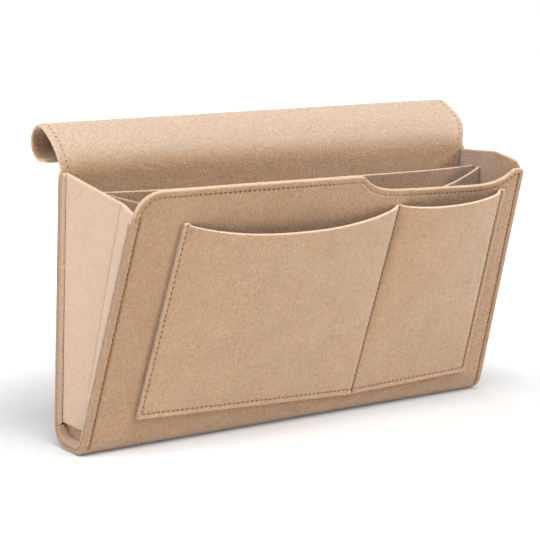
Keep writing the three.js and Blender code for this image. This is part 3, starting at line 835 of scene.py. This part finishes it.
gusset_shares = np.r_[TOP_LEVELS, spaced(*WEB_LEVELS), FOOT_LEVELS]
# The gusset felt has paler fibres than the wrap's felt, a painted highlight for its lit sides.
gusset_felt = felt_material(
    "gusset_felt", (175, 141, 112), (132, 100, 74), (220, 198, 179), (210, 180, 152),
    (110, 70, 42), (197, 168, 146))
foot_s = np.r_[
    spaced(FRONT_LENGTH - FOOT_FRONT, flat_start, FINE_STEP),
    spaced(flat_start, bend_end - FOOT_BACK, FOOT_STEP)[1:],
]
foot_inset = gusset_round + np.array(FOOT_INSETS)
foot_lift = -(WRAP_FELT + GUSSET_FELT) / 2 - SEAM_GAP
foot_wave = np.sin(TUCK_WAVES * 2 * math.pi * np.linspace(0, 1, len(foot_s)))
tuck_shares = np.linspace(0, 1, TUCK_POINTS)[1:]
for name, side in (("left_gusset", -1), ("right_gusset", 1)):
    levels = []
    for share in gusset_shares:
        heights = [foot + (top - foot) * share for foot, top in zip(GUSSET_FEET, GUSSET_TOPS[name])]
        level, fold_column, crease_column = gusset_line(side, heights)
        levels.append(level)
    middle = np.stack(levels) * np.array([side, 1, 1]) * MM
    column = np.arange(middle.shape[1])
    # The crease and the fold are pressed in, and painted darker along their lines as painted shade.
    lines = CREASE_LINE * np.exp(-((column - crease_column) / CREASE_COLUMNS) ** 2)
    lines = lines * np.clip(gusset_shares[:, None] / CREASE_FADE, 0, 1)
    lines = lines + FOLD_LINE * np.exp(-((column - fold_column) / FOLD_COLUMNS) ** 2)
    foot_x = side * (BASE_HALF - np.broadcast_to(foot_inset, (len(foot_s), len(foot_inset))))
    foot_middle = folded(foot_x, np.broadcast_to(foot_s[:, None], foot_x.shape), foot_lift)
    strip_end = foot_middle[:, -1]
    web = level[fold_column:np.argmin(level[:, 1]) + 1][::-1] * MM
    web_x, web_z = (np.interp(strip_end[:, 1], web[:, 1], web[:, axis]) for axis in (0, 2))
    behind = np.stack([
        side * (web_x - (GUSSET_FELT + TUCK_GAP) * MM),
        strip_end[:, 1],
        web_z + TUCK_RISE * MM,
    ], axis=-1)
    tuck = strip_end[:, None] + (behind - strip_end)[:, None] * tuck_shares[:, None]
    tuck[..., 0] -= side * TUCK_CRUMPLE * MM * foot_wave[:, None] * np.sin(math.pi * tuck_shares)
    foot_middle = np.concatenate([foot_middle, tuck], axis=1)
    if side > 0:
        middle = middle[:, ::-1]
        lines = lines[:, ::-1]
        foot_middle = foot_middle[:, ::-1]
    foot = felt_sheet(name + "_foot", foot_middle, GUSSET_FELT, edge_shade=shaded_cut_sides)
    gusset = felt_sheet(name + "_felt", middle, GUSSET_FELT, pressed=lines, painted_highlight=(1, 0), edge_shade=shaded_cut_sides)
    foot.select_set(True)
    bpy.ops.object.join()
    gusset.data.materials.append(gusset_felt)
    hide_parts(name)
    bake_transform(gusset)

# The dividers: two thinner felt sheets that stand on the bottom and are sewn to the gussets at their ends.
# The rear one is straight on top and the front one is scooped. Their ends stand back and their lower corners
# are cut away.
DIVIDER_FELT = 2
DIVIDER_TOP = 166
DIVIDER_FOOT = 3.6
DIVIDER_SCOOP = 22
DIVIDER_SCOOP_POWER = 2.4
DIVIDER_GAP = 0.15
DIVIDER_CORNER = 26
DIVIDER_WAVES = 0.6
DIVIDER_COLUMN = 0.025
DIVIDER_STEP = 4.0
DIVIDER_TOP_ROWS = (0, 1, 2)
END_REACH = 0.45
divider_round = CUT_SHARE * DIVIDER_FELT
divider_felt = felt_material(
    "divider_felt", (172, 139, 110), (136, 103, 77), (189, 164, 139), (218, 191, 168),
    (111, 79, 55), (197, 168, 146))


def web_inside(side, y, z):
    """The inside of a gusset's web at a place between the back and the front."""
    share = (BACK_INSIDE - y) / (BACK_INSIDE - front_inside(z))
    crease = crease_share(z)
    pressed_in = np.minimum(share / crease, (1 - share) / (1 - crease)) * CREASE_DEPTH
    width = (back_half(side, z) - BACK_FLANGE) * (1 - share)
    width = width + (front_half_at(side, z) - FRONT_FLANGE) * share
    return width - GUSSET_FELT - pressed_in


# Each divider's name, the depths of its foot and its top, its dip, how far its ends stand back, and its area.
dividers = [
    ("rear_divider", 6.3, -16.7, 0, 11, 0.0495),
    ("front_divider", -4.7, -28.7, DIVIDER_SCOOP, 12, 0.0455),
]
for name, foot_y, top_y, dip, end_shift, flat_area in dividers:
    across = spaced(-1, 1, DIVIDER_COLUMN)
    scooped = dip * (1 - np.abs(across) ** DIVIDER_SCOOP_POWER)
    length = math.hypot(DIVIDER_TOP - DIVIDER_FOOT, top_y - foot_y)
    down = np.r_[DIVIDER_TOP_ROWS, spaced(DIVIDER_STEP, length, DIVIDER_STEP)][:, None] / length
    up = (1 - down) * (length - divider_round - scooped) / length
    near_end = np.clip((np.abs(across) - 1 + END_REACH) / END_REACH, 0, 1) ** 2
    y = foot_y + (top_y - foot_y) * up + end_shift * near_end * up ** 2
    z = DIVIDER_FOOT + (DIVIDER_TOP - DIVIDER_FOOT) * up
    end_inset = DIVIDER_GAP + divider_round
    end_inset = end_inset + DIVIDER_CORNER * np.clip(1 - up[:, :1] * length / DIVIDER_CORNER, 0, 1) ** 2
    left_end = -web_inside(-1, y[:, :1], z[:, :1]) + end_inset
    right_end = web_inside(1, y[:, -1:], z[:, -1:]) - end_inset
    x = left_end + (right_end - left_end) * (across + 1) / 2
    y = y + felt_waves(x, up * length, DIVIDER_WAVES) * up * (1 - across ** 2)
    divider = felt_sheet(name + "_felt", np.stack([x, y, z], axis=-1) * MM, DIVIDER_FELT)
    divider.data.materials.append(divider_felt)
    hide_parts(name)
    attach(divider, name + "_body")

# The pocket panel: one felt sheet sewn to the front along its left, its right, its foot and a split. Its two
# mouths are scooped, and each pocket stands open at its mouth.
POCKET_FELT = 2.2
POCKET_INSET = 3.6
POCKET_BULGE = 10
POCKET_BULGE_POWER = 0.55
POCKET_SEAM_FLAT = 1.6
POCKET_SEAM_DEPTH = 1.0
POCKET_ROW_DEPTH = 0.4
POCKET_RIDGE = 0.9
POCKET_RIDGE_REACH = 1.8
POCKET_CUT_SHADE = 1.0
POCKET_GAP = 0.1
POCKET_EDGE = 1.6
POCKET_SWELL_POWER = 1.05
POCKET_FLAT_ROWS = (9, 7.6, 6.4, 5.4, 4.7, 4.2, 3.8, 3.4, 3.0, 2.6, 2.1, 1.4, 0.7, 0)
POCKET_MOUTH_ROWS = (0, 0.008)
POCKET_ROWS = (0.02, 1, 0.016)
SPLIT_START = 0.3
WIDE_COLUMNS = 80
NARROW_COLUMNS = 50
pocket_left = {"foot": (-132.6, 18.9), "top": (-121.3, 153.0)}
pocket_split = {"foot": (41.8, 11.8), "top": (50.2, 152.9)}
pocket_right = {"foot": (146.7, 14.8), "top": (145.0, 157.8)}
WIDE_SCOOP = 8.5
NARROW_SCOOP = 1.5
POCKET_SCOOP_POWER = 2.4
pocket_round = CUT_SHARE * POCKET_FELT
pocket_felt = felt_material(
    "pocket_felt", (184, 152, 121), (143, 110, 82), (198, 172, 146), (229, 205, 183),
    (110, 70, 42), (197, 168, 146))


def pocket_columns(left, right, start, end, dip, count):
    """Columns of one pocket between two seams: the places of its foot and mouth, and how far it swells."""
    columns = []
    foot_width = right["foot"][0] - left["foot"][0]
    top_width = right["top"][0] - left["top"][0]
    for part in np.linspace(0, 1, count):
        foot_x = left["foot"][0] + start + (foot_width - start - end) * part
        foot_height = left["foot"][1] + (right["foot"][1] - left["foot"][1]) * part
        top_x = left["top"][0] + start + (top_width - start - end) * part
        across = (top_x - left["top"][0]) / top_width
        mouth = left["top"][1] + (right["top"][1] - left["top"][1]) * across
        mouth -= dip * (1 - abs(2 * across - 1) ** POCKET_SCOOP_POWER)
        bulge = math.sin(math.pi * part) ** POCKET_BULGE_POWER
        columns.append((foot_x, foot_height, top_x, mouth - pocket_round, bulge))
    return columns


def seam_columns(edge, places):
    """Flat columns beside a seam or an edge of the pocket panel."""
    foot, top = edge["foot"], edge["top"]
    return [(foot[0] + place, foot[1], top[0] + place, top[1] - pocket_round, 0) for place in places]


margin = POCKET_INSET + POCKET_SEAM_FLAT
edge_places = np.r_[pocket_round, POCKET_EDGE, POCKET_INSET + beside_seam[:-1]]
pocket_grid = seam_columns(pocket_left, edge_places)
pocket_grid += pocket_columns(pocket_left, pocket_split, margin, POCKET_SEAM_FLAT, WIDE_SCOOP, WIDE_COLUMNS)
pocket_grid += seam_columns(pocket_split, beside_seam[1:-1])
pocket_grid += pocket_columns(
    pocket_split, pocket_right, POCKET_SEAM_FLAT, margin, NARROW_SCOOP, NARROW_COLUMNS)
pocket_grid += seam_columns(pocket_right, -edge_places[::-1])
column_foot, foot_heights, column_top, column_mouth, column_swell = np.array(pocket_grid).T
pocket_base = foot_heights + pocket_round
flat_rows = np.array(POCKET_FLAT_ROWS)[:, None]
up_rows = 1 - np.r_[POCKET_MOUTH_ROWS, spaced(*POCKET_ROWS)[:-1]][:, None]
upper = pocket_base + flat_rows[0] + (column_mouth - pocket_base - flat_rows[0]) * up_rows
pocket_heights = np.concatenate([upper, pocket_base + flat_rows + 0 * column_mouth])
above_foot = pocket_heights - foot_heights
climb = above_foot / (column_mouth - foot_heights)
pocket_x = column_foot + (column_top - column_foot) * climb
swelling = np.clip((above_foot - margin) / (column_mouth - foot_heights - margin), 0, 1)
swell = column_swell * POCKET_BULGE * swelling ** POCKET_SWELL_POWER


def beside(corner, across, up):
    return corner[0] + across * POCKET_INSET, corner[1] + up * POCKET_INSET


pocket_rows = {
    "pocket_left_seam": [beside(pocket_left["foot"], 1, 1), beside(pocket_left["top"], 1, 0)],
    "pocket_split_seam": [beside(pocket_split["foot"], 0, SPLIT_START), beside(pocket_split["top"], 0, 0)],
    "pocket_right_seam": [beside(pocket_right["foot"], -1, 1), beside(pocket_right["top"], -1, 0)],
    "pocket_foot_seam": [
        beside(pocket_left["foot"], 1, 1),
        beside(pocket_split["foot"], 0, 1),
        beside(pocket_right["foot"], -1, 1),
    ],
}
row_depths = {"pocket_left_seam": POCKET_ROW_DEPTH, "pocket_foot_seam": POCKET_ROW_DEPTH}
pocket_pressed = np.zeros_like(pocket_x)
for name, corners in pocket_rows.items():
    path_x, path_height = np.array(corners).T
    depth = row_depths.get(name, POCKET_SEAM_DEPTH)
    row = sunk_along(pocket_x, pocket_heights, path_x, path_height, depth, SEAM_REACH)
    pocket_pressed = np.maximum(pocket_pressed, row)
ridge = POCKET_RIDGE * np.exp(-(above_foot / POCKET_RIDGE_REACH) ** 2)
pocket_lift = WRAP_FELT / 2 + POCKET_GAP + POCKET_FELT / 2 + swell + ridge
pocket_middle = folded(pocket_x, FRONT_LENGTH - pocket_heights, pocket_lift)
# The pocket's cut sides are painted darker, a painted shadow under its edges.
pocket_cut_shade = {"left": POCKET_CUT_SHADE, "foot": POCKET_CUT_SHADE, "right": POCKET_CUT_SHADE}
pocket = felt_sheet(
    "pocket_panel_felt", pocket_middle, POCKET_FELT, pressed=pocket_pressed, edge_shade=pocket_cut_shade)
pocket.data.materials.append(pocket_felt)
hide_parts("pocket_panel")
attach(pocket, "front_body")

# The sewing: brown thread in lockstitch, drawn tight so that each stitch lies in a dent in the felt.
# One stitch is modelled and copied along every row, and rows that pass through the wrap show on both sides.
STITCH_PITCH = 3.7
STITCH_LENGTH = 1.9
STITCH_THICK = 1.0
STITCH_SAG = 0.35
STITCH_SEGMENTS = 8
STITCH_RINGS = 6
THREAD_COLOURS = ((68, 44, 28), (110, 76, 51))
THREAD_SCALE = 1500
THREAD_DETAIL = 2
THREAD_BUMP = 0.5
THREAD_BUMP_DEPTH = 0.0003
THREAD_ROUGHNESS = 0.75
FRONT_STITCH_LIFT = 0.2
HEM_STITCH_LIFT = 0.1
POCKET_STITCH_LIFT = 0.12
BACK_STITCH_LIFT = 0.15
FLAP_STITCH_SUNK = 0.12
FLANGE_ROW = 3.3
BACK_ROW = (16, 173)
ROW_STEP = 5.0
POCKET_ROW_POINTS = 100
FLAP_HEM_STEP = 1.0
FLAP_HEM_END = 1
bpy.ops.mesh.primitive_uv_sphere_add(segments=STITCH_SEGMENTS, ring_count=STITCH_RINGS, radius=MM / 2)
one_stitch = bpy.context.object
bpy.ops.object.mode_set(mode="EDIT")
bpy.ops.mesh.select_all(action="SELECT")
bpy.ops.transform.rotate(value=math.pi / 2, orient_axis="Y", center_override=(0, 0, 0))
bpy.ops.transform.resize(value=(STITCH_LENGTH, STITCH_THICK, STITCH_THICK))
bpy.ops.object.mode_set(mode="OBJECT")
stitch_points = np.array([vertex.co for vertex in one_stitch.data.vertices])
stitch_points[:, 2] -= STITCH_SAG * MM * (stitch_points[:, 0] / (STITCH_LENGTH * MM / 2)) ** 2
stitch_faces = [list(face.vertices) for face in one_stitch.data.polygons]
bpy.data.objects.remove(one_stitch)

thread, thread_tree = new_material("thread")
thread_place = thread_tree.nodes.new("ShaderNodeTexCoord").outputs["Object"]
twist_inputs = {"Vector": thread_place, "Scale": THREAD_SCALE, "Detail": THREAD_DETAIL}
twist = add_node(thread_tree, "ShaderNodeTexNoise", twist_inputs).outputs["Fac"]
bump_inputs = {"Height": twist, "Strength": THREAD_BUMP, "Distance": THREAD_BUMP_DEPTH}
thread_shades = [(*srgb(*colour), 1) for colour in THREAD_COLOURS]
give(thread_tree, thread_tree.nodes["Principled BSDF"], {
    "Base Color": mixed(thread_tree, twist, *thread_shades),
    "Normal": add_node(thread_tree, "ShaderNodeBump", bump_inputs).outputs["Normal"],
    "Roughness": THREAD_ROUGHNESS,
})


def stitch_row(name, lines, replaced):
    """Stitches along lines of places and of the felt's outward direction there, as one piece."""
    points, faces = [], []
    for places, outward in lines:
        lengths = lengths_along(places)
        count = max(1, round(lengths[-1] / (STITCH_PITCH * MM)))
        for at in (np.arange(count) + 0.5) * lengths[-1] / count:
            spots = [at - STITCH_LENGTH * MM / 4, at, at + STITCH_LENGTH * MM / 4]
            before, here, after = points_at(spots, lengths, places)
            normal = unit(points_at(at, lengths, outward))
            along = unit(after - before)
            across = np.cross(normal, along)
            start = len(points) * len(stitch_points)
            points.append(here + stitch_points @ np.stack([along, across, normal]))
            faces += [[start + corner for corner in face] for face in stitch_faces]
    mesh = bpy.data.meshes.new(name)
    mesh.from_pydata(np.concatenate(points).tolist(), [], faces)
    mesh.polygons.foreach_set("use_smooth", [True] * len(faces))
    row = bpy.data.objects.new(name, mesh)
    bpy.context.scene.collection.objects.link(row)
    row.data.materials.append(thread)
    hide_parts(replaced)
    return row


def wrap_row(x, s, lift):
    """A row of sewing on the wrap: its places, and the felt's outward direction, on one face of it."""
    places = folded(x, s, lift)
    outward = unit(folded(x, s, lift + np.sign(lift)) - places)
    return places, outward


front_face = WRAP_FELT / 2 - SEAM_DEPTH + FRONT_STITCH_LIFT
flange_face = -WRAP_FELT / 2 - SEAM_GAP - GUSSET_FELT
for name, side in (("left_front", -1), ("right_front", 1)):
    heights = spaced(*side_heights[side], ROW_STEP)
    seam_x = side * (front_half(side, heights) - EDGE_INSET)
    on_flange = heights > GUSSET_FEET[2]
    outside = wrap_row(seam_x, FRONT_LENGTH - heights, front_face)
    inside = wrap_row(seam_x[on_flange], FRONT_LENGTH - heights[on_flange], flange_face)
    row = stitch_row(name + "_stitches", [outside, inside], name + "_seam")
    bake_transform(row)
hem_face = WRAP_FELT / 2 - hem_depth + HEM_STITCH_LIFT
hem_rows = [wrap_row(hem_x, FRONT_LENGTH - hem_height, face) for face in (hem_face, -WRAP_FELT / 2)]
hem = stitch_row("front_top_stitches", hem_rows, "front_top_hem")
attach(hem, "front_body")
for name, corners in pocket_rows.items():
    shares = np.linspace(0, len(corners) - 1, POCKET_ROW_POINTS)
    across, heights = points_at(shares, np.arange(len(corners)), np.array(corners)).T
    lift = WRAP_FELT / 2 + POCKET_GAP + POCKET_FELT - row_depths.get(name, POCKET_SEAM_DEPTH)
    lift += POCKET_STITCH_LIFT
    lines = [wrap_row(across, FRONT_LENGTH - heights, face) for face in (lift, -WRAP_FELT / 2)]
    row = stitch_row(name.replace("seam", "stitches"), lines, name)
    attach(row, "front_body")
for name, side in (("left_back", -1), ("right_back", 1)):
    heights = spaced(*BACK_ROW, ROW_STEP)
    seam_x = side * (back_half(side, heights) - FLANGE_ROW)
    flange_y = np.full(len(heights), BACK_INSIDE - GUSSET_FELT - SEAM_GAP)
    places = np.stack([seam_x, flange_y, heights], axis=-1) * MM
    inside = (places, np.tile([0.0, -1.0, 0.0], (len(heights), 1)))
    back_s = bend_end + heights - back_foot
    outer_x = side * (wrap_half(back_s) - EDGE_INSET)
    outside = wrap_row(outer_x, back_s, WRAP_FELT / 2 - BACK_SEAM_DEPTH + BACK_STITCH_LIFT)
    row = stitch_row(name + "_stitches", [inside, outside], name + "_seam")
    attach(row, "back_body")
hem_borders = [crease_at + FLAP_HEM_END, rise_border, crown_border, heel_border, wrap_end - FLAP_HEM_END]
for zone, strip in enumerate(("flap_rise", "flap_crown", "flap_heel", "flap_tip")):
    for end, side in (("left", -1), ("right", 1)):
        along = spaced(hem_borders[zone], hem_borders[zone + 1], FLAP_HEM_STEP)
        seam_x = side * (wrap_half(along) - EDGE_INSET)
        depth = FLAP_HEM_DEPTH + FLAP_STITCH_SUNK + edge_thinned(seam_x, along)
        lines = [wrap_row(seam_x, along, face * (WRAP_FELT / 2 - depth)) for face in (-1, 1)]
        row = stitch_row(f"{strip}_{end}_stitches", lines, f"{strip}_{end}_hem")
        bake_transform(row)
